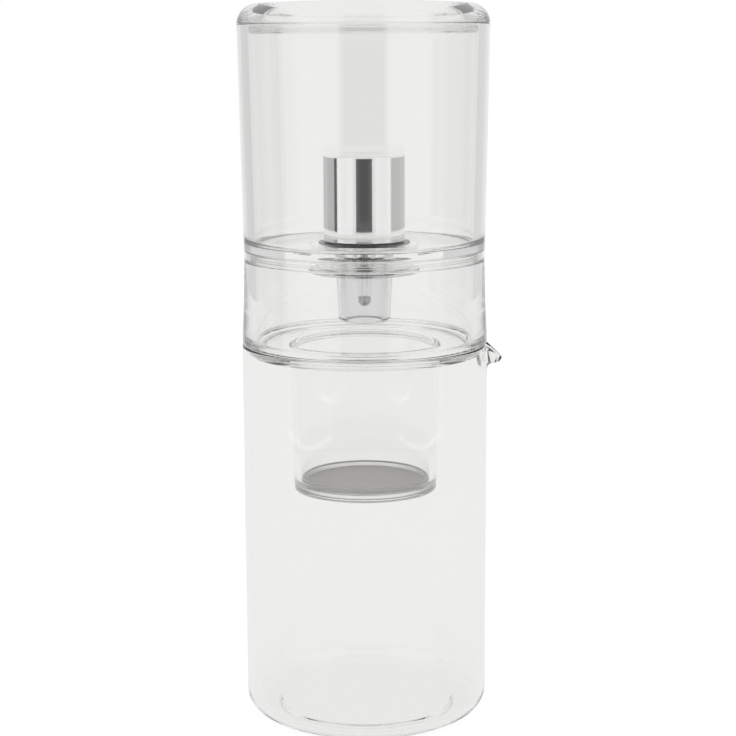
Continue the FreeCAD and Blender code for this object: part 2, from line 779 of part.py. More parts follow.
# ---------------------------------------------------------------- needle and its fittings
# The needle slides in the valve's bore on two O-rings. Its shank passes through the knob's web
# and is held there by a clip, so the knob turns on it and lifts it.
def make_needle():
    body = new_body("needle_stem")
    turn(body, "needle_section", [
        ("0", "needle_point"),
        ("needle_point_radius", "needle_point"),
        ("needle_radius", "needle_cone_top"),
        ("needle_radius", "needle_collar_foot"),
        ("needle_collar_radius", "needle_collar_foot"),
        ("needle_collar_radius", "groove_1_foot"),
        ("needle_groove_radius", "groove_1_foot"),
        ("needle_groove_radius", "groove_1_top"),
        ("needle_collar_radius", "groove_1_top"),
        ("needle_collar_radius", "groove_2_foot"),
        ("needle_groove_radius", "groove_2_foot"),
        ("needle_groove_radius", "groove_2_top"),
        ("needle_collar_radius", "groove_2_top"),
        ("needle_collar_radius", "needle_collar_top"),
        ("needle_shank_radius", "needle_collar_top"),
        ("needle_shank_radius", "hub_web_top + running_gap"),
        ("needle_clip_groove", "hub_web_top + running_gap"),
        ("needle_clip_groove", "clip_top + running_gap"),
        ("needle_shank_radius", "clip_top + running_gap"),
        ("needle_shank_radius", "needle_top + clip_thick"),
        ("0", "needle_top + clip_thick"),
    ])
    return body


def make_o_rings():
    """Two O-rings in the needle's grooves, as a group of separate solids."""
    group = doc.addObject("Part::Compound", "stem_o_rings")
    group.Label = "stem_o_rings"
    rings = []
    for number in (1, 2):
        ring = doc.addObject("Part::Torus", f"o_ring_{number}")
        ring.setExpression("Radius1", bound("needle_groove_radius + running_gap / 2 + o_ring_section"))
        ring.setExpression("Radius2", bound("o_ring_section"))
        middle = f"(groove_{number}_foot + groove_{number}_top) / 2"
        ring.setExpression(".Placement.Base.z", bound(middle))
        rings.append(ring)
    group.Links = rings
    doc.recompute()
    return group


def make_clip():
    """Open retaining clip, with its slot towards +X."""
    body = new_body("retaining_clip")
    inner = "needle_clip_groove + running_gap"
    turn(body, "clip_section", ring_section(inner, "clip_radius", "clip_foot", "clip_top"))
    sketch = new_sketch(body, "clip_slot_outline", "XY_Plane", "clip_top")
    corner = FreeCAD.Vector(0, -size("clip_slot") / 2, 0)
    far = FreeCAD.Vector(2 * size("clip_radius"), size("clip_slot") / 2, 0)
    corners = [corner, FreeCAD.Vector(far.x, corner.y, 0), far, FreeCAD.Vector(0, far.y, 0)]
    sides = []
    for number, start in enumerate(corners):
        finish = corners[(number + 1) % len(corners)]
        sides.append(sketch.addGeometry(Part.LineSegment(start, finish), False))
    for number in range(len(corners)):
        following = (number + 1) % len(corners)
        sketch.addConstraint(Sketcher.Constraint("Coincident", sides[number], 2, sides[following], 1))
    for side, direction in zip(sides, ("Horizontal", "Vertical", "Horizontal", "Vertical")):
        sketch.addConstraint(Sketcher.Constraint(direction, side))
    sketch.addConstraint(Sketcher.Constraint("Symmetric", sides[0], 1, sides[2], 2, -1, 1))
    fix(sketch, "DistanceY", (sides[1], 1, sides[1], 2), "clip_slot")
    fix(sketch, "DistanceX", (sides[0], 1, sides[0], 2), "2 * clip_radius")
    before = body.Shape.Volume
    slot = body.newObject("PartDesign::Pocket", "clip_slot")
    slot.Profile = sketch
    slot.Type = "ThroughAll"
    slot.Midplane = True
    doc.recompute()
    check_cut(body, "clip_slot", before)
    return body


# ---------------------------------------------------------------- knob
# Moulded hub that climbs the valve's barrel, with wells that keep its walls even.
def make_knob_hub():
    body = new_body("knob_hub")
    turn(body, "knob_hub_section", [
        ("hub_bore", "hub_foot"),
        ("hub_radius", "hub_foot"),
        ("hub_radius", "hub_top"),
        ("hub_cavity_radius", "hub_top"),
        ("hub_cavity_radius", "hub_web_top"),
        ("needle_shank_radius + running_gap", "hub_web_top"),
        ("needle_shank_radius + running_gap", "hub_web_foot"),
        ("hub_bore", "hub_web_foot"),
    ])
    outer = [("hub_radius", "hub_top")]
    soften(body, "knob_hub_edge", outer, "knob_edge_round")
    sketch = circle_sketch(body, "hub_well_circle", "hub_foot", "hub_well_pitch", "hub_well_radius")
    before = body.Shape.Volume
    well = body.newObject("PartDesign::Pocket", "hub_well")
    well.Profile = sketch
    well.Type = "Length"
    well.Reversed = True
    well.setExpression("Length", bound("hub_well_depth"))
    doc.recompute()
    check_cut(body, "hub_well", before)
    repeat_round(body, "hub_wells", well, "hub_well_count")
    return body


# Drawn steel cap pressed over the hub.
def make_knob_cap():
    body = new_body("knob_cap")
    bore = "knob_radius - knob_wall"
    turn(body, "knob_cap_section", [
        (bore, "knob_foot"),
        ("knob_radius", "knob_foot"),
        ("knob_radius", "knob_top"),
        ("0", "knob_top"),
        ("0", "knob_top - knob_wall"),
        (bore, "knob_top - knob_wall"),
    ])
    soften(body, "knob_top_edge", [("knob_radius", "knob_top")], "knob_edge_round")
    soften(body, "knob_foot_edge", [("knob_radius", "knob_foot")], "knob_foot_round")
    soften(body, "knob_inner_edge", [(bore, "knob_top - knob_wall")], "knob_edge_round / 2")
    return body


pieces = [
    make_carafe(),
    make_brew_chamber(),
    make_carafe_ring(),
    make_chamber_ring(),
    make_filter_rim(),
    make_filter_mesh(),
    make_filter_gasket(),
    make_water_tank(),
    make_gasket("top_gasket", "tank_floor_top"),
    make_gasket("bottom_gasket", "nut_top"),
    make_valve_body(),
    make_drip_nozzle(),
    make_drip_tip(),
    make_valve_seat(),
    make_needle(),
    make_o_rings(),
    make_clip(),
    make_knob_hub(),
    make_knob_cap(),
    make_lid(),
    make_lid_seal(),
]
doc.recompute()

# ---------------------------------------------------------------- checks and export
for item in doc.Objects:
    faults = [state for state in item.State if state in ("Invalid", "Error")]
    if faults:
        raise RuntimeError(f"{item.Label} is {faults}")

SOLIDS_IN_GROUP = {"stem_o_rings": 2}
for piece in pieces:
    if piece.Shape.isNull() or not piece.Shape.isValid():
        raise RuntimeError(f"{piece.Label} has no valid shape")
    wanted = SOLIDS_IN_GROUP.get(piece.Label, 1)
    if len(piece.Shape.Solids) != wanted:
        raise RuntimeError(f"{piece.Label} has {len(piece.Shape.Solids)} solids, not {wanted}")

os.makedirs("parts", exist_ok=True)
for piece in pieces:
    piece.Shape.exportStep(os.path.join("parts", f"{piece.Label}.step"))
    box = piece.Shape.BoundBox
    print(f"{piece.Label}: volume {piece.Shape.Volume:.0f}, height {box.ZMin:.2f} to {box.ZMax:.2f}")
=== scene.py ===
# %% [markdown]
# # A clear cold brew coffee maker
# The maker is a stack on one axis: a glass carafe, a brew chamber whose cup hangs inside it, a
# water tank with a steel knob on its floor, and a lid. The construction is loaded as a fixed
# frame. This lesson gives it its looks: the clear mouldings are turned again with fine, round
# edges, because coarse facets show badly in anything that bends light.

# %% Load the frame
import math
import bmesh
import bpy
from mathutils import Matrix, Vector


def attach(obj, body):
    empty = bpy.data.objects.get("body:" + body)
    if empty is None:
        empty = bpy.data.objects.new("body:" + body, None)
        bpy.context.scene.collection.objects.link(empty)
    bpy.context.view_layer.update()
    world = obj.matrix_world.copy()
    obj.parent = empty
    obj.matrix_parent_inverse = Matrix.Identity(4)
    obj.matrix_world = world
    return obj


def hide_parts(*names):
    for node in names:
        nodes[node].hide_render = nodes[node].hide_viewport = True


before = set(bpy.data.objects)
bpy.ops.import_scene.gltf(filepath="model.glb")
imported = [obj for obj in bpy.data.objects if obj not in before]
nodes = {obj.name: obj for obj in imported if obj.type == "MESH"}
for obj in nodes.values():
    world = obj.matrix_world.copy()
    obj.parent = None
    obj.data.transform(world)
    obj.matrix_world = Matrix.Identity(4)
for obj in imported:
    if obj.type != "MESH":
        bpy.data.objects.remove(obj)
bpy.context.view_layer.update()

scene = bpy.context.scene
MM = 0.001
WHITE = (1, 1, 1, 1)

# %% [markdown]
# ## Camera
# The camera stands level with the lid and is tilted down, so that the rings below it show as
# wider and wider ellipses. The lens is long, which keeps the sides almost parallel. The camera
# leans a quarter of a degree.

# %% Camera
CAMERA_DISTANCE = 0.827
CAMERA_HEIGHT = 0.3092
CAMERA_ASIDE = 0.00205
CAMERA_PITCH = math.radians(10.36)
CAMERA_LEAN = math.radians(0.25)
SENSOR = 36.0
FOCAL_PIXELS = 1860.0
PICTURE_PIXELS = 736.0

camera_data = bpy.data.cameras.new("camera")
camera_data.sensor_width = SENSOR
camera_data.lens = FOCAL_PIXELS / PICTURE_PIXELS * SENSOR
camera = bpy.data.objects.new("camera", camera_data)
scene.collection.objects.link(camera)
camera.location = (CAMERA_ASIDE, -CAMERA_DISTANCE, CAMERA_HEIGHT)
camera.rotation_euler = (math.pi / 2 - CAMERA_PITCH, CAMERA_LEAN, 0)
scene.camera = camera
print("lens", round(camera_data.lens, 2), "mm")

# %% [markdown]
# ## Shader maths in Python
# A material is easier to read as a formula than as a web of nodes. One small class wraps a
# socket, so that adding or multiplying two of them adds the Math node that does it. Every other
# node comes from one function, which takes its type, its settings and its socket values.

# %% The socket class
class Value:
    """A number, colour or vector that comes out of a node of one material."""

    def __init__(self, tree, socket):
        self.tree = tree
        self.socket = socket

    def math(self, operation, other=None, flip=False):
        parts = [self] if other is None else [self, other]
        if flip:
            parts.reverse()
        values = dict(enumerate(parts))
        return add_node(self.tree, "ShaderNodeMath", {"operation": operation}, values)

    def __add__(self, other):
        return self.math("ADD", other)

    def __mul__(self, other):
        return self.math("MULTIPLY", other)

    def __rsub__(self, other):
        return self.math("SUBTRACT", other, flip=True)


def add_node(tree, kind, settings=None, values=None, output=0):
    """Add a node, set its settings, then fill its sockets with plain values or links."""
    node = tree.nodes.new(kind)
    for name, setting in (settings or {}).items():
        if name == "stops":
            ramp = node.color_ramp.elements
            for number, (place, colour) in enumerate(setting):
                stop = ramp[number] if number < len(ramp) else ramp.new(place)
                stop.position = place
                stop.color = colour
        else:
            setattr(node, name, setting)
    for name, value in (values or {}).items():
        if isinstance(value, Value):
            tree.links.new(value.socket, node.inputs[name])
        else:
            node.inputs[name].default_value = value
    return Value(tree, node.outputs[output])


print("socket class ready")

# %% [markdown]
# ## Shader helpers
# The same few steps begin and end every material. Nearly every pattern is one soft noise, which
# is measured on the piece itself.

# %% Shader helpers
OBJECT_POINT = 3


def new_material(name):
    material = bpy.data.materials.new(name)
    material.use_nodes = True
    material.node_tree.nodes.clear()
    return material, material.node_tree


def finish_material(tree, shader):
    output = tree.nodes.new("ShaderNodeOutputMaterial")
    tree.links.new(shader.socket, output.inputs["Surface"])


def mix_shaders(tree, share, first, second):
    return add_node(tree, "ShaderNodeMixShader", None, {0: share, 1: first, 2: second})


def grey(level):
    return (level, level, level, 1)


def place_on(tree, stretch=(1, 1, 1)):
    """The point on the piece, stretched so that a pattern can run along an axis."""
    point = add_node(tree, "ShaderNodeTexCoord", output=OBJECT_POINT)
    return add_node(tree, "ShaderNodeMapping", None, {"Vector": point, "Scale": stretch})


def noise(tree, scale, detail=2.0, stretch=(1, 1, 1)):
    values = {"Vector": place_on(tree, stretch), "Scale": scale, "Detail": detail}
    return add_node(tree, "ShaderNodeTexNoise", None, values)


def bump(tree, pattern, distance):
    return add_node(tree, "ShaderNodeBump", None, {"Height": pattern, "Distance": distance})


print("shader helpers ready")

# %% [markdown]
# ## Clear materials
# Clear plastic and glass let the lamps through, but a path tracer treats them as solid for
# shadows. Each clear material therefore turns into a tinted window for shadow rays only. Moulded
# plastic is never perfectly even: a very slow swell in the surface makes its reflections waver.
# The nozzle is smoky and lightly frosted, and the filter's rim and ring are milky.

# %% Clear plastic, glass and silicone
CLOUD_SCALE = 60.0
PLASTIC_IOR = 1.49
GLASS_IOR = 1.47
SILICONE_IOR = 1.41


def clear_material(name, colour, ior, rough, rough_spread, swell, swell_size, window):
    material, tree = new_material(name)
    cloud = noise(tree, CLOUD_SCALE)
    roughness = cloud * rough_spread + (rough - rough_spread / 2)
    normal = bump(tree, noise(tree, swell_size, detail=1.0), swell)
    glass = add_node(tree, "ShaderNodeBsdfPrincipled", None, {
        "Base Color": colour,
        "Roughness": roughness,
        "IOR": ior,
        "Transmission Weight": 1.0,
        "Normal": normal,
    })
    pane = add_node(tree, "ShaderNodeBsdfTransparent", None, {"Color": grey(window)})
    shadow_ray = add_node(tree, "ShaderNodeLightPath", output="Is Shadow Ray")
    finish_material(tree, mix_shaders(tree, shadow_ray, glass, pane))
    return material


clear_plastic = clear_material(
    "clear plastic", (0.985, 0.985, 0.977, 1), PLASTIC_IOR, rough=0.0, rough_spread=0.0,
    swell=0.000003, swell_size=22.0, window=0.98)
smoky_plastic = clear_material(
    "smoky plastic", (0.93, 0.922, 0.932, 1), PLASTIC_IOR, rough=0.13, rough_spread=0.03,
    swell=0.000004, swell_size=22.0, window=0.88)
carafe_glass = clear_material(
    "carafe glass", (0.988, 0.992, 0.98, 1), GLASS_IOR, rough=0.0, rough_spread=0.0,
    swell=0.000005, swell_size=14.0, window=0.985)
clear_silicone = clear_material(
    "clear silicone", (0.96, 0.962, 0.96, 1), SILICONE_IOR, rough=0.06, rough_spread=0.02,
    swell=0.000004, swell_size=40.0, window=0.93)
filter_silicone = clear_material(
    "filter silicone", (0.97, 0.97, 0.96, 1), SILICONE_IOR, rough=0.3, rough_spread=0.06,
    swell=0.00001, swell_size=90.0, window=0.92)
print("clear materials ready")

# %% [markdown]
# ## Opaque finishes
# The knob is drawn and polished steel, so nearly all of its look is what it mirrors. Turning
# leaves very fine rings, which a stretched noise in the bump and the roughness stands for. The
# valve's steel is plain turned stock, a little duller. The valve's washers are dark silicone,
# and the knob's hub is a pale moulding.

# %% Steel, dark silicone and hub plastic
MIXED_COLOUR = 2


def opaque_material(name, colour, spread, rough, rough_spread, metallic, rings, scale, height):
    """The colour drifts by the given spread, and rings squeezes the noise along the axis."""
    material, tree = new_material(name)
    cloud = noise(tree, scale, stretch=(1, 1, rings))
    drifted = tuple(part * spread for part in colour[:3]) + (1,)
    shade = add_node(
        tree, "ShaderNodeMix", {"data_type": "RGBA"}, {0: cloud, 6: colour, 7: drifted}, MIXED_COLOUR)
    shader = add_node(tree, "ShaderNodeBsdfPrincipled", None, {
        "Base Color": shade,
        "Roughness": cloud * rough_spread + (rough - rough_spread / 2),
        "Metallic": metallic,
        "Normal": bump(tree, cloud, height),
    })
    finish_material(tree, shader)
    return material


polished_steel = opaque_material(
    "polished steel", (0.93, 0.93, 0.935, 1), spread=0.97, rough=0.07, rough_spread=0.04,
    metallic=1.0, rings=30, scale=160.0, height=0.0000015)
satin_steel = opaque_material(
    "satin steel", (0.6, 0.6, 0.605, 1), spread=0.9, rough=0.26, rough_spread=0.1,
    metallic=1.0, rings=12, scale=420.0, height=0.000004)
gasket_silicone = opaque_material(
    "gasket silicone", (0.055, 0.055, 0.06, 1), spread=1.25, rough=0.24, rough_spread=0.06,
    metallic=0.0, rings=1, scale=900.0, height=0.000002)
hub_plastic = opaque_material(
    "hub plastic", (0.62, 0.62, 0.61, 1), spread=0.95, rough=0.42, rough_spread=0.08,
    metallic=0.0, rings=1, scale=500.0, height=0.000004)
print("opaque finishes ready")

# %% [markdown]
# ## Filter mesh
# The filter's disc is woven steel wire with a pitch of about half a millimetre. Two sine waves
# across each other stand for the wires going over and under. They drive the bump and the holes
# between the wires, so the weave reads as cloth and lets a little light through. They also drive
# the colour, which is painted shade, dark between the wires, and a painted highlight, pale on the
# wire crowns and where one wire passes over another.

# %% Woven mesh
MESH_PITCH = 0.55 * MM
WIRE_HEIGHT = 0.12 * MM
# The dark stop is painted shade between the wires; the pale stop is the steel's own tone with a painted
# highlight on the crowns.
WIRE_PAINTED_SHADE = (0.25, 0.23, 0.225, 1)
WIRE_TONE_AND_HIGHLIGHT = (0.63, 0.59, 0.58, 1)
WIRE_METALLIC = 0.85
WIRE_ROUGHNESS = 0.42
HOLE_BELOW = 0.42
HOLE_CLEARNESS = 0.8


def weave_material():
    material, tree = new_material("woven mesh")
    point = place_on(tree)
    parts = [add_node(tree, "ShaderNodeSeparateXYZ", None, {0: point}, output=axis) for axis in (0, 1)]
    turns = [(part * (math.pi / MESH_PITCH)).math("SINE") for part in parts]
    wires = [turn.math("ABSOLUTE") for turn in turns]
    height = wires[0].math("MAXIMUM", wires[1])
    over = (turns[0] * turns[1]) * 0.5 + 0.5
    # The colour is painted light: painted shade, dark in the low parts between the wires, and a painted
    # highlight, pale on each wire's crown and paler where one wire passes over the other.
    shade = add_node(
        tree, "ShaderNodeValToRGB", {"stops": [(0.0, WIRE_PAINTED_SHADE), (1.0, WIRE_TONE_AND_HIGHLIGHT)]},
        {0: height * 0.7 + over * 0.3})
    wire = add_node(tree, "ShaderNodeBsdfPrincipled", None, {
        "Base Color": shade,
        "Metallic": WIRE_METALLIC,
        "Roughness": WIRE_ROUGHNESS,
        "Normal": bump(tree, height, WIRE_HEIGHT),
    })
    gap = add_node(tree, "ShaderNodeBsdfTransparent", None, {"Color": WHITE})
    hole = height.math("LESS_THAN", HOLE_BELOW)
    finish_material(tree, mix_shaders(tree, hole * HOLE_CLEARNESS, wire, gap))
    return material


woven_mesh = weave_material()
print("mesh pitch", round(MESH_PITCH / MM, 2), "mm")

# %% [markdown]
# ## Selecting by hand
# Two small tools stand for what the hand does between the steps of modelling: pick one piece,
# and in edit mode pick the points that a step is about.

# %% Selection tools
def only(piece):
    bpy.ops.object.select_all(action="DESELECT")
    piece.select_set(True)
    bpy.context.view_layer.objects.active = piece


def select_points(piece, wanted):
    """In edit mode, select the points for which wanted(point) is true, and no others."""
    bpy.ops.mesh.select_mode(type="VERT")
    bpy.ops.mesh.select_all(action="DESELECT")
    mesh = bmesh.from_edit_mesh(piece.data)
    for point in mesh.verts:
        if wanted(point.co):
            point.select_set(True)
    mesh.select_flush_mode()
    bmesh.update_edit_mesh(piece.data)


print("selection tools ready")

# %% [markdown]
# ## Drawing a half section
# Nearly every piece is a moulding or a turning about one axis. Its half section is drawn the way
# it would be by hand: one point is extruded from corner to corner, and the corners that a mould
# or a lathe leaves round are bevelled. A corner is its radius, its height and its round, all in
# millimetres.

# %% Draw and round a half section
CORNER_STEPS = 8
NEAR = 0.00002


def corner_place(corner):
    radius, height, edge = corner
    return Vector((radius, 0, height)) * MM


def start_outline(name, corners):
    """Extrude one point through the corners."""
    bpy.ops.object.select_all(action="DESELECT")
    place = corner_place(corners[0])
    bpy.ops.mesh.primitive_plane_add(size=MM, location=place)
    piece = bpy.context.object
    piece.name = name
    piece.data.name = name
    bpy.ops.object.transform_apply(location=True, rotation=True, scale=True)
    bpy.ops.object.mode_set(mode="EDIT")
    bpy.ops.mesh.select_all(action="SELECT")
    bpy.ops.mesh.merge(type="CENTER")
    for corner in corners[1:]:
        step = corner_place(corner) - place
        bpy.ops.mesh.extrude_vertices_move(TRANSFORM_OT_translate={"value": step})
        place = corner_place(corner)
    return piece


def close_outline(piece, corners):
    """Join the last corner to the first."""
    ends = [corner_place(corners[0]), corner_place(corners[-1])]
    select_points(piece, lambda co: min((co - end).length for end in ends) < NEAR)
    bpy.ops.mesh.edge_face_add()


def round_corners(piece, corners):
    """Bevel each corner that has a round."""
    for corner in corners:
        edge = corner[2]
        if edge:
            place = corner_place(corner)
            select_points(piece, lambda co: (co - place).length < NEAR)
            bpy.ops.mesh.bevel(
                offset=edge * MM, segments=CORNER_STEPS, affect="VERTICES", profile=0.5, clamp_overlap=False)


print("outline tools ready")

# %% [markdown]
# ## Spinning and finishing
# The outline is spun about the axis. Spinning a fine outline keeps every edge a true circle,
# which clear walls need. Weighted normals then keep the big faces straight beside their small
# rounds. Each finished piece rides on its body and takes the place of its node of the frame.

# %% Spin and finish a piece
SPIN_STEPS = 288
WELD_DISTANCE = 0.000002
SMOOTH_ANGLE = math.radians(30.0)


def spin_outline(piece, steps=SPIN_STEPS):
    bpy.ops.mesh.select_all(action="SELECT")
    bpy.ops.mesh.spin(steps=steps, angle=math.tau, center=(0, 0, 0), axis=(0, 0, 1), use_auto_merge=True)
    bpy.ops.mesh.select_all(action="SELECT")
    bpy.ops.mesh.remove_doubles(threshold=WELD_DISTANCE)
    bpy.ops.mesh.dissolve_degenerate(threshold=WELD_DISTANCE)
    bpy.ops.mesh.select_all(action="SELECT")
    bpy.ops.mesh.normals_make_consistent(inside=False)
    bpy.ops.object.mode_set(mode="OBJECT")
    finish_shading(piece)


def finish_shading(piece):
    only(piece)
    bpy.ops.object.shade_smooth_by_angle(angle=SMOOTH_ANGLE)
    bpy.ops.object.modifier_add(type="WEIGHTED_NORMAL")
    weighting = piece.modifiers[-1]
    weighting.keep_sharp = True
    bpy.ops.object.modifier_apply(modifier=weighting.name)


def finish_piece(piece, body, stands_for, material):
    piece.data.materials.clear()
    piece.data.materials.append(material)
    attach(piece, body)
    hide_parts(stands_for)
    print(piece.name, len(piece.data.polygons), "faces")


def turned(name, body, stands_for, material, corners):
    """Turn one piece. A section that begins and ends on the axis needs no closing line."""
    piece = start_outline(name, corners)
    if corners[0][0] > 0 or corners[-1][0] > 0:
        close_outline(piece, corners)
    round_corners(piece, corners)
    spin_outline(piece)
    finish_piece(piece, body, stands_for, material)


print("turning tools ready")

# %% [markdown]
# ## Glass carafe
# The carafe is a blown cylinder with an even wall, a rounded base and a polished rim. Its wall is
# spun with a ring every few millimetres near the rim, so that the spout can then be pulled out
# of it the way a glass worker does: the rim's points at +X are moved out and down, and the
# points around them follow less and less with distance.

# %% Glass carafe
CARAFE_STEPS = 360
CARAFE_RADIUS = 55
CARAFE_BORE = 52.6
CARAFE_RIM = 170.1
RIM_ROUND = 0.9
WALL_RINGS = [60, 110, 140, 150, 153, 156, 158, 160, 162, 164, 166, 168]
SPOUT_PULL = Vector((6.8, 0, -6.4)) * MM
SPOUT_REACH = 11.5 * MM
PULLED_ABOVE = 169.0 * MM
PULLED_WITHIN = 0.4 * MM

outside = [(0, 0, 0), (CARAFE_RADIUS, 0, 9)]
outside += [(CARAFE_RADIUS, ring, 0) for ring in WALL_RINGS]
outside += [(CARAFE_RADIUS, CARAFE_RIM, RIM_ROUND)]
inside = [(CARAFE_BORE, CARAFE_RIM, RIM_ROUND)]
inside += [(CARAFE_BORE, ring, 0) for ring in reversed(WALL_RINGS)]
inside += [(CARAFE_BORE, 2.5, 6.6), (40.2, 2.5, 0.8), (38.4, 3.5, 0.8), (0, 3.5, 0)]
carafe_outline = outside + inside

carafe = start_outline("turned_carafe", carafe_outline)
round_corners(carafe, carafe_outline)
spin_outline(carafe, steps=CARAFE_STEPS)
bpy.ops.object.mode_set(mode="EDIT")
select_points(carafe, lambda co: co.x > 0 and abs(co.y) < PULLED_WITHIN and co.z > PULLED_ABOVE)
bpy.ops.transform.translate(
    value=SPOUT_PULL, use_proportional_edit=True, proportional_edit_falloff="SMOOTH",
    proportional_size=SPOUT_REACH)
bpy.ops.object.mode_set(mode="OBJECT")
finish_shading(carafe)
finish_piece(carafe, "carafe", "glass_carafe", carafe_glass)
print("spout tip at", round(max(point.co.x for point in carafe.data.vertices) / MM, 2), "mm")

# %% [markdown]
# ## Brew chamber
# One clear moulding makes the wide ring, its floor and the cup that hangs into the carafe. The
# flange at its foot rests on the glass. A spigot below and a lip above centre it on its
# neighbours, each with a groove for a silicone ring.

# %% Brew chamber
turned("turned_chamber", "brewer", "brew_chamber", clear_plastic, [
    (25.2, 103.3, 0.2), (32.3, 103.3, 0.7), (33.9, 165.8, 0.6), (50.9, 165.8, 0.3), (52.3, 167.6, 0.2),
    (52.3, 168.1, 0.1), (51.55, 168.1, 0), (51.55, 169.3, 0), (52.3, 169.3, 0.1), (52.3, 170.2, 0.2),
    (54.85, 170.2, 0.6), (54.85, 174.0, 2.0), (54.05, 190.2, 0), (53.65, 208.0, 0.4), (50.7, 208.0, 0.2),
    (50.7, 209.35, 0.1), (49.95, 209.35, 0), (49.95, 210.55, 0), (50.7, 210.55, 0.1), (50.7, 211.9, 0.5),
    (48.8, 211.9, 0.5), (49.0, 169.3, 5.2), (30.8, 169.3, 1.6), (29.2, 104.3, 0.5), (25.2, 104.3, 0.2)])

# %% [markdown]
# ## Water tank
# The tank is a slightly tapered cylinder. Its floor stands above a skirt that drops over the
# chamber's lip, which is why two pairs of rings show close together at the joint.

# %% Water tank
turned("turned_tank", "tank", "water_tank", clear_plastic, [
    (9.2, 208.8, 0.2), (24.0, 208.8, 0.5), (24.0, 212.6, 0.5), (51.0, 212.6, 0.5), (51.0, 208.1, 0.3),
    (53.65, 208.1, 0.5), (55.5, 311.3, 0.7), (50.7, 311.3, 0.7), (48.9, 215.4, 3.0), (9.2, 215.4, 0.2)])

# %% [markdown]
# ## Lid
# A thin plate with a wide rounded shoulder, a slightly drafted side and a very slight dome. The
# dome is drawn as short straight steps. A hollow plug hangs from it into the tank, and a ring of
# clear silicone round the plug wipes the tank's wall. Only the ring's lip shows.

# %% Lid
DOME_RISE = 1.7
LID_EDGE = 319.6
LID_RADIUS = 54.1
DOME_STEPS = range(44, -1, -2)
dome = [(radius, LID_EDGE + DOME_RISE * (1 - (radius / LID_RADIUS) ** 2), 0) for radius in DOME_STEPS]
turned("turned_lid", "lid", "lid", clear_plastic, [
    (0, 318.0, 0), (46.5, 318.0, 3.0), (46.5, 312.7, 0.1), (45.0, 312.7, 0.2), (45.0, 306.8, 0.5),
    (49.5, 306.8, 0.3), (49.5, 311.4, 0.2), (55.5, 311.4, 0.5), (LID_RADIUS, LID_EDGE, 7.1)] + dome)
turned("turned_lid_seal", "lid", "lid_seal", clear_silicone, [
    (49.52, 307.25, 0.1), (50.3, 307.75, 0.2), (50.3, 309.65, 0.2), (49.52, 310.15, 0.1)])

# %% [markdown]
# ## Drip nozzle and gaskets
# Under the tank's floor a flanged nut clamps the valve, and its tapered shroud guards the tip
# where the drops form. Two flat washers of dark silicone seal the floor, one above and one
# below. The upper one is clamped only under the valve's flange, so its outer zone stands a hair
# off the floor, and it thins towards its edge.

# %% Nozzle and gaskets
turned("turned_nozzle", "tank", "drip_nozzle", smoky_plastic, [
    (8.2, 179.4, 0.6), (11.6, 179.4, 1.4), (12.7, 201.9, 2.4), (24.9, 201.9, 0.5), (24.9, 204.5, 0.5),
    (20.4, 204.5, 0.4), (20.4, 208.3, 0.3), (8.95, 208.3, 0.2), (8.95, 200.3, 1.0)])
turned("turned_top_gasket", "tank", "top_gasket", gasket_silicone, [
    (9.2, 215.38, 0), (14.0, 215.38, 0), (14.0, 215.43, 0), (20.5, 215.43, 0.05), (20.5, 215.65, 0.08),
    (9.2, 215.9, 0.1)])
turned("turned_bottom_gasket", "tank", "bottom_gasket", gasket_silicone, [
    (9.2, 208.3, 0.1), (14.0, 208.3, 0.15), (14.0, 208.82, 0), (9.2, 208.82, 0)])

# %% [markdown]
# ## Knob
# The knob is a drawn steel cap over a moulded hub. Its wall is plain and its top edge is rounded
# just enough to catch a thin line of light.

# %% Knob cap
turned("turned_knob", "knob", "knob_cap", polished_steel, [
    (17.3, 216.1, 0.15), (18.3, 216.1, 0.6), (18.3, 254.3, 0.9), (0, 254.3, 0), (0, 253.3, 0),
    (17.3, 253.3, 0.45)])

# %% [markdown]
# ## Filter
# A moulded rim with a small flange holds the woven mesh. A silicone ring stretched over the rim
# from below seals it in the foot of the cup, so it is drawn pressed against the cup's wall. Both
# are milky, so they pass light and show as a pale ring round the dark mesh.

# %% Filter
turned("turned_filter_rim", "filter", "filter_rim", filter_silicone, [
    (26.7, 106.2, 0.1), (28.0, 106.2, 0.1), (28.0, 108.5, 0.1), (29.0, 108.5, 0.1), (29.0, 109.1, 0.25),
    (27.2, 109.1, 0.3), (27.2, 107.6, 0.2), (26.7, 107.6, 0.2), (26.7, 107.1, 0), (27.5, 107.1, 0),
    (27.5, 106.7, 0), (26.7, 106.7, 0)])
turned("turned_filter_gasket", "filter", "filter_gasket", filter_silicone, [
    (26.7, 104.4, 0.2), (29.22, 104.4, 0.35), (29.32, 108.5, 0.2), (28.05, 108.5, 0.1), (28.05, 106.2, 0),
    (26.7, 106.2, 0.1)])

# %% [markdown]
# ## Small pieces
# The two joint rings, the mesh and the valve's inner pieces keep their own nodes and only take
# a finish.

# %% Finishes for the other nodes
finish_of = {
    "carafe_ring": clear_silicone,
    "chamber_ring": clear_silicone,
    "filter_mesh": woven_mesh,
    "valve_body": clear_plastic,
    "drip_tip": satin_steel,
    "valve_seat": gasket_silicone,
    "needle_stem": satin_steel,
    "stem_o_rings": gasket_silicone,
    "retaining_clip": satin_steel,
    "knob_hub": hub_plastic,
}
for name, finish in finish_of.items():
    nodes[name].data.materials.clear()
    nodes[name].data.materials.append(finish)
print("finishes on", len(finish_of), "nodes")

# %% [markdown]
# ## Softboxes
# Clear ware is lit by what it mirrors. Two tall softboxes stand left and right of the camera and
# give the pale upright bands on the walls and on the knob.

# %% Softboxes
SOFTBOX_LEVEL = 0.65
SOFTBOX_WIDTH = 0.52
SOFTBOX_HEIGHT = 1.1
SOFTBOX_DISTANCE = 0.62
SOFTBOX_MIDDLE = 0.55
SOFTBOX_BEARING = 52.5


def round_the_maker(bearing, distance, middle):
    """A place at a bearing from the camera's side of the maker, and the turn that faces it."""
    turn = math.radians(bearing)
    return (distance * math.sin(turn), -distance * math.cos(turn), middle), (math.pi / 2, 0, turn)


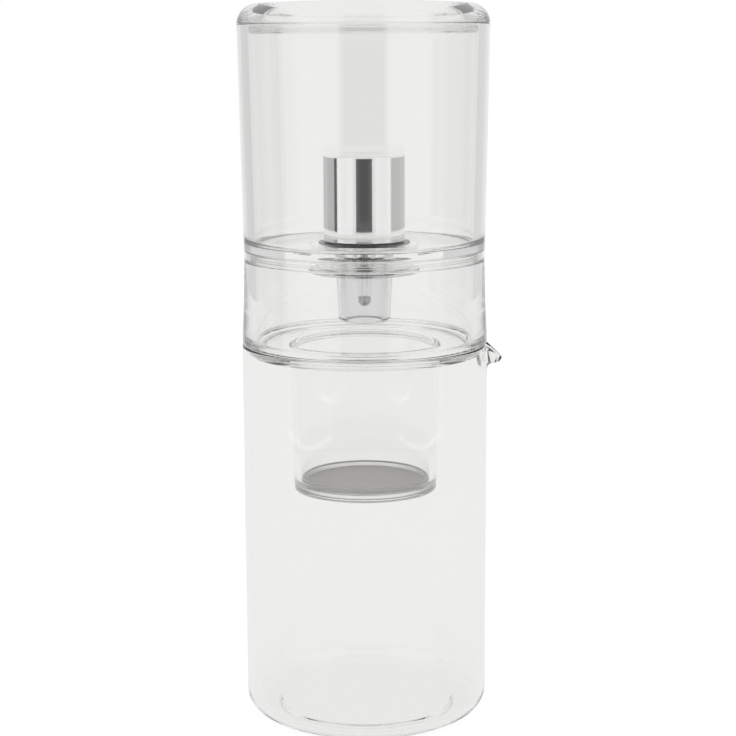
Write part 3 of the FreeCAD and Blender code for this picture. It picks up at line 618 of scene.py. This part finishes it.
def softbox(name, bearing):
    light = bpy.data.lights.new(name, "AREA")
    light.shape = "RECTANGLE"
    light.size = SOFTBOX_WIDTH
    light.size_y = SOFTBOX_HEIGHT
    light.energy = SOFTBOX_LEVEL * math.pi * SOFTBOX_WIDTH * SOFTBOX_HEIGHT
    lamp = bpy.data.objects.new(name, light)
    scene.collection.objects.link(lamp)
    lamp.location, lamp.rotation_euler = round_the_maker(bearing, SOFTBOX_DISTANCE, SOFTBOX_MIDDLE)
    return lamp


softboxes = [softbox("left softbox", -SOFTBOX_BEARING), softbox("right softbox", SOFTBOX_BEARING)]
print("softboxes", [round(lamp.data.energy, 2) for lamp in softboxes], "W")

# %% [markdown]
# ## Cards that only mirrored rays meet
# Between the softboxes, where the camera stands, the room is dark, and that dark stripe is what
# shows the knob's roundness. Upright cards stand for the dark room. Only mirrored rays meet them,
# so they never show behind the maker from any side. One hangs behind each softbox, because a
# mirrored ray sees a lamp's own light on top of what is behind the lamp.
#
# A ray off the outside has crossed no face, and one off the knob has crossed four. Any other
# count belongs to a ray that was mirrored inside a clear wall, and it sees the wall level. The
# low cards end a little above the lid, so that flat tops mirror the pale room. The two high ones
# have no level of their own: only rays inside walls meet them, and they give the lid's rounded
# corners their grey.

# %% Cards
KNOB_CROSSINGS = 4
HALF = 0.5


def flag_material(name, level, wall_level):
    """Plain grey where a ray has been mirrored, and nothing at all for any other ray."""
    material, tree = new_material(name)
    mirrored = add_node(tree, "ShaderNodeLightPath", output="Glossy Depth").math("GREATER_THAN", HALF)
    crossed = add_node(tree, "ShaderNodeLightPath", output="Transmission Depth")
    none_crossed = crossed.math("LESS_THAN", HALF)
    at_least = crossed.math("GREATER_THAN", KNOB_CROSSINGS - HALF)
    at_most = crossed.math("LESS_THAN", KNOB_CROSSINGS + HALF)
    open_air = none_crossed + at_least * at_most
    if level is None:
        strength = wall_level
        mirrored = mirrored * (1 - open_air)
    else:
        strength = open_air * (level - wall_level) + wall_level
    shine = add_node(tree, "ShaderNodeEmission", None, {"Color": WHITE, "Strength": strength})
    clear = add_node(tree, "ShaderNodeBsdfTransparent", None, {"Color": WHITE})
    finish_material(tree, mix_shaders(tree, mirrored, clear, shine))
    return material


def flag(name, bearing, distance, width, height, middle, level, wall_level):
    place, turn = round_the_maker(bearing, distance, middle)
    bpy.ops.object.select_all(action="DESELECT")
    bpy.ops.mesh.primitive_plane_add(size=1, location=place, rotation=turn)
    card = bpy.context.object
    card.name = name
    card.scale = (width, height, 1)
    card.visible_shadow = False
    card.data.materials.append(flag_material(name, level, wall_level))


BEHIND_SOFTBOX = (0.64, 0.54, 1.14, 0.55)
LOW = (1.08, -0.16)
HIGH = (1.0, 1.3, 1.3, 1.04)
cards = [
    # name, bearing, distance, width, height, middle, level, wall level
    ("left softbox back", -SOFTBOX_BEARING, *BEHIND_SOFTBOX, 0.36, 0.2),
    ("right softbox back", SOFTBOX_BEARING, *BEHIND_SOFTBOX, 0.34, 0.2),
    ("camera side flag", 0, 1.4, 1.13, 1.32, -0.25, 0.083, 0.2),
    ("left strip", -85, 0.97, 0.17, *LOW, 0.03, 0.25),
    ("left flag", -101.5, 1.0, 0.80, *LOW, 0.45, 0.52),
    ("right flag", 101.5, 1.0, 0.80, *LOW, 0.50, 0.58),
    ("far left flag", -138, 1.02, 0.60, *LOW, 0.54, 0.66),
    ("far right flag", 138, 1.02, 0.60, *LOW, 0.57, 0.70),
    ("left high card", -112, *HIGH, None, 0.16),
    ("right high card", 112, *HIGH, None, 0.18),
]
for row in cards:
    flag(*row)
print(len(cards), "cards set")

# %% [markdown]
# ## Floor
# The floor and the backdrop are white. Their white is their own, seen by the camera and by rays
# that pass through or off the maker, so no lamp has to be turned up for it. The floor is very
# large, so that its far edge never shows as a line in the glass. Its diffuse share takes the
# shadow under the base.

# %% Floor
FLOOR_SIZE = 200.0
FLOOR_DROP = 0.4 * MM
FLOOR_STRAIGHT = 0.93
FLOOR_IN_GLASS = 0.77
FLOOR_SHADE = 0.12
bpy.ops.object.select_all(action="DESELECT")
bpy.ops.mesh.primitive_plane_add(size=FLOOR_SIZE, location=(0, 0, -FLOOR_DROP))
floor = bpy.context.object
floor.name = "floor"


def white_seen(tree, straight, bent_level):
    """One strength for camera rays and another for rays off or through the maker, else 0."""
    camera_ray = add_node(tree, "ShaderNodeLightPath", output="Is Camera Ray")
    glossy_ray = add_node(tree, "ShaderNodeLightPath", output="Is Glossy Ray")
    through_ray = add_node(tree, "ShaderNodeLightPath", output="Is Transmission Ray")
    bent = glossy_ray.math("MAXIMUM", through_ray)
    return (camera_ray * straight).math("MAXIMUM", bent * bent_level)


material, tree = new_material("floor")
plain = add_node(tree, "ShaderNodeBsdfDiffuse", None, {"Color": grey(FLOOR_SHADE)})
own = add_node(tree, "ShaderNodeEmission", None, {
    "Color": WHITE, "Strength": white_seen(tree, FLOOR_STRAIGHT, FLOOR_IN_GLASS)})
finish_material(tree, add_node(tree, "ShaderNodeAddShader", None, {0: plain, 1: own}))
floor.data.materials.append(material)
print("floor ready")

# %% [markdown]
# ## Room
# The world is the backdrop for the camera's rays and for rays through or off the maker. For all
# other rays it is the soft light of the room.

# %% Room
BACKDROP_STRAIGHT = 1.0
BACKDROP_IN_GLASS = 0.85
ROOM_LEVEL = 0.8
world = bpy.data.worlds.new("studio")
scene.world = world
world.use_nodes = True
world.node_tree.nodes.clear()
air = world.node_tree
seen = white_seen(air, BACKDROP_STRAIGHT, BACKDROP_IN_GLASS)
level = seen + (1 - seen.math("GREATER_THAN", HALF)) * ROOM_LEVEL
room = add_node(air, "ShaderNodeBackground", None, {"Color": WHITE, "Strength": level})
sky = air.nodes.new("ShaderNodeOutputWorld")
air.links.new(room.socket, sky.inputs["Surface"])
print("room level", ROOM_LEVEL)

# %% [markdown]
# ## Ray depths
# A ray through the filter crosses eight clear walls: the carafe, the cup, the silicone ring and
# the rim, on either side. Each has two faces, so the limits on bounces are raised. Too few of
# them would turn the inner pieces black.

# %% Ray depths
MOST_CROSSINGS = 40
MOST_REFLECTIONS = 24
scene.view_settings.view_transform = "Standard"
scene.cycles.max_bounces = MOST_CROSSINGS
scene.cycles.transmission_bounces = MOST_CROSSINGS
scene.cycles.glossy_bounces = MOST_REFLECTIONS
scene.cycles.transparent_max_bounces = MOST_CROSSINGS
print("a ray may cross", MOST_CROSSINGS, "faces")
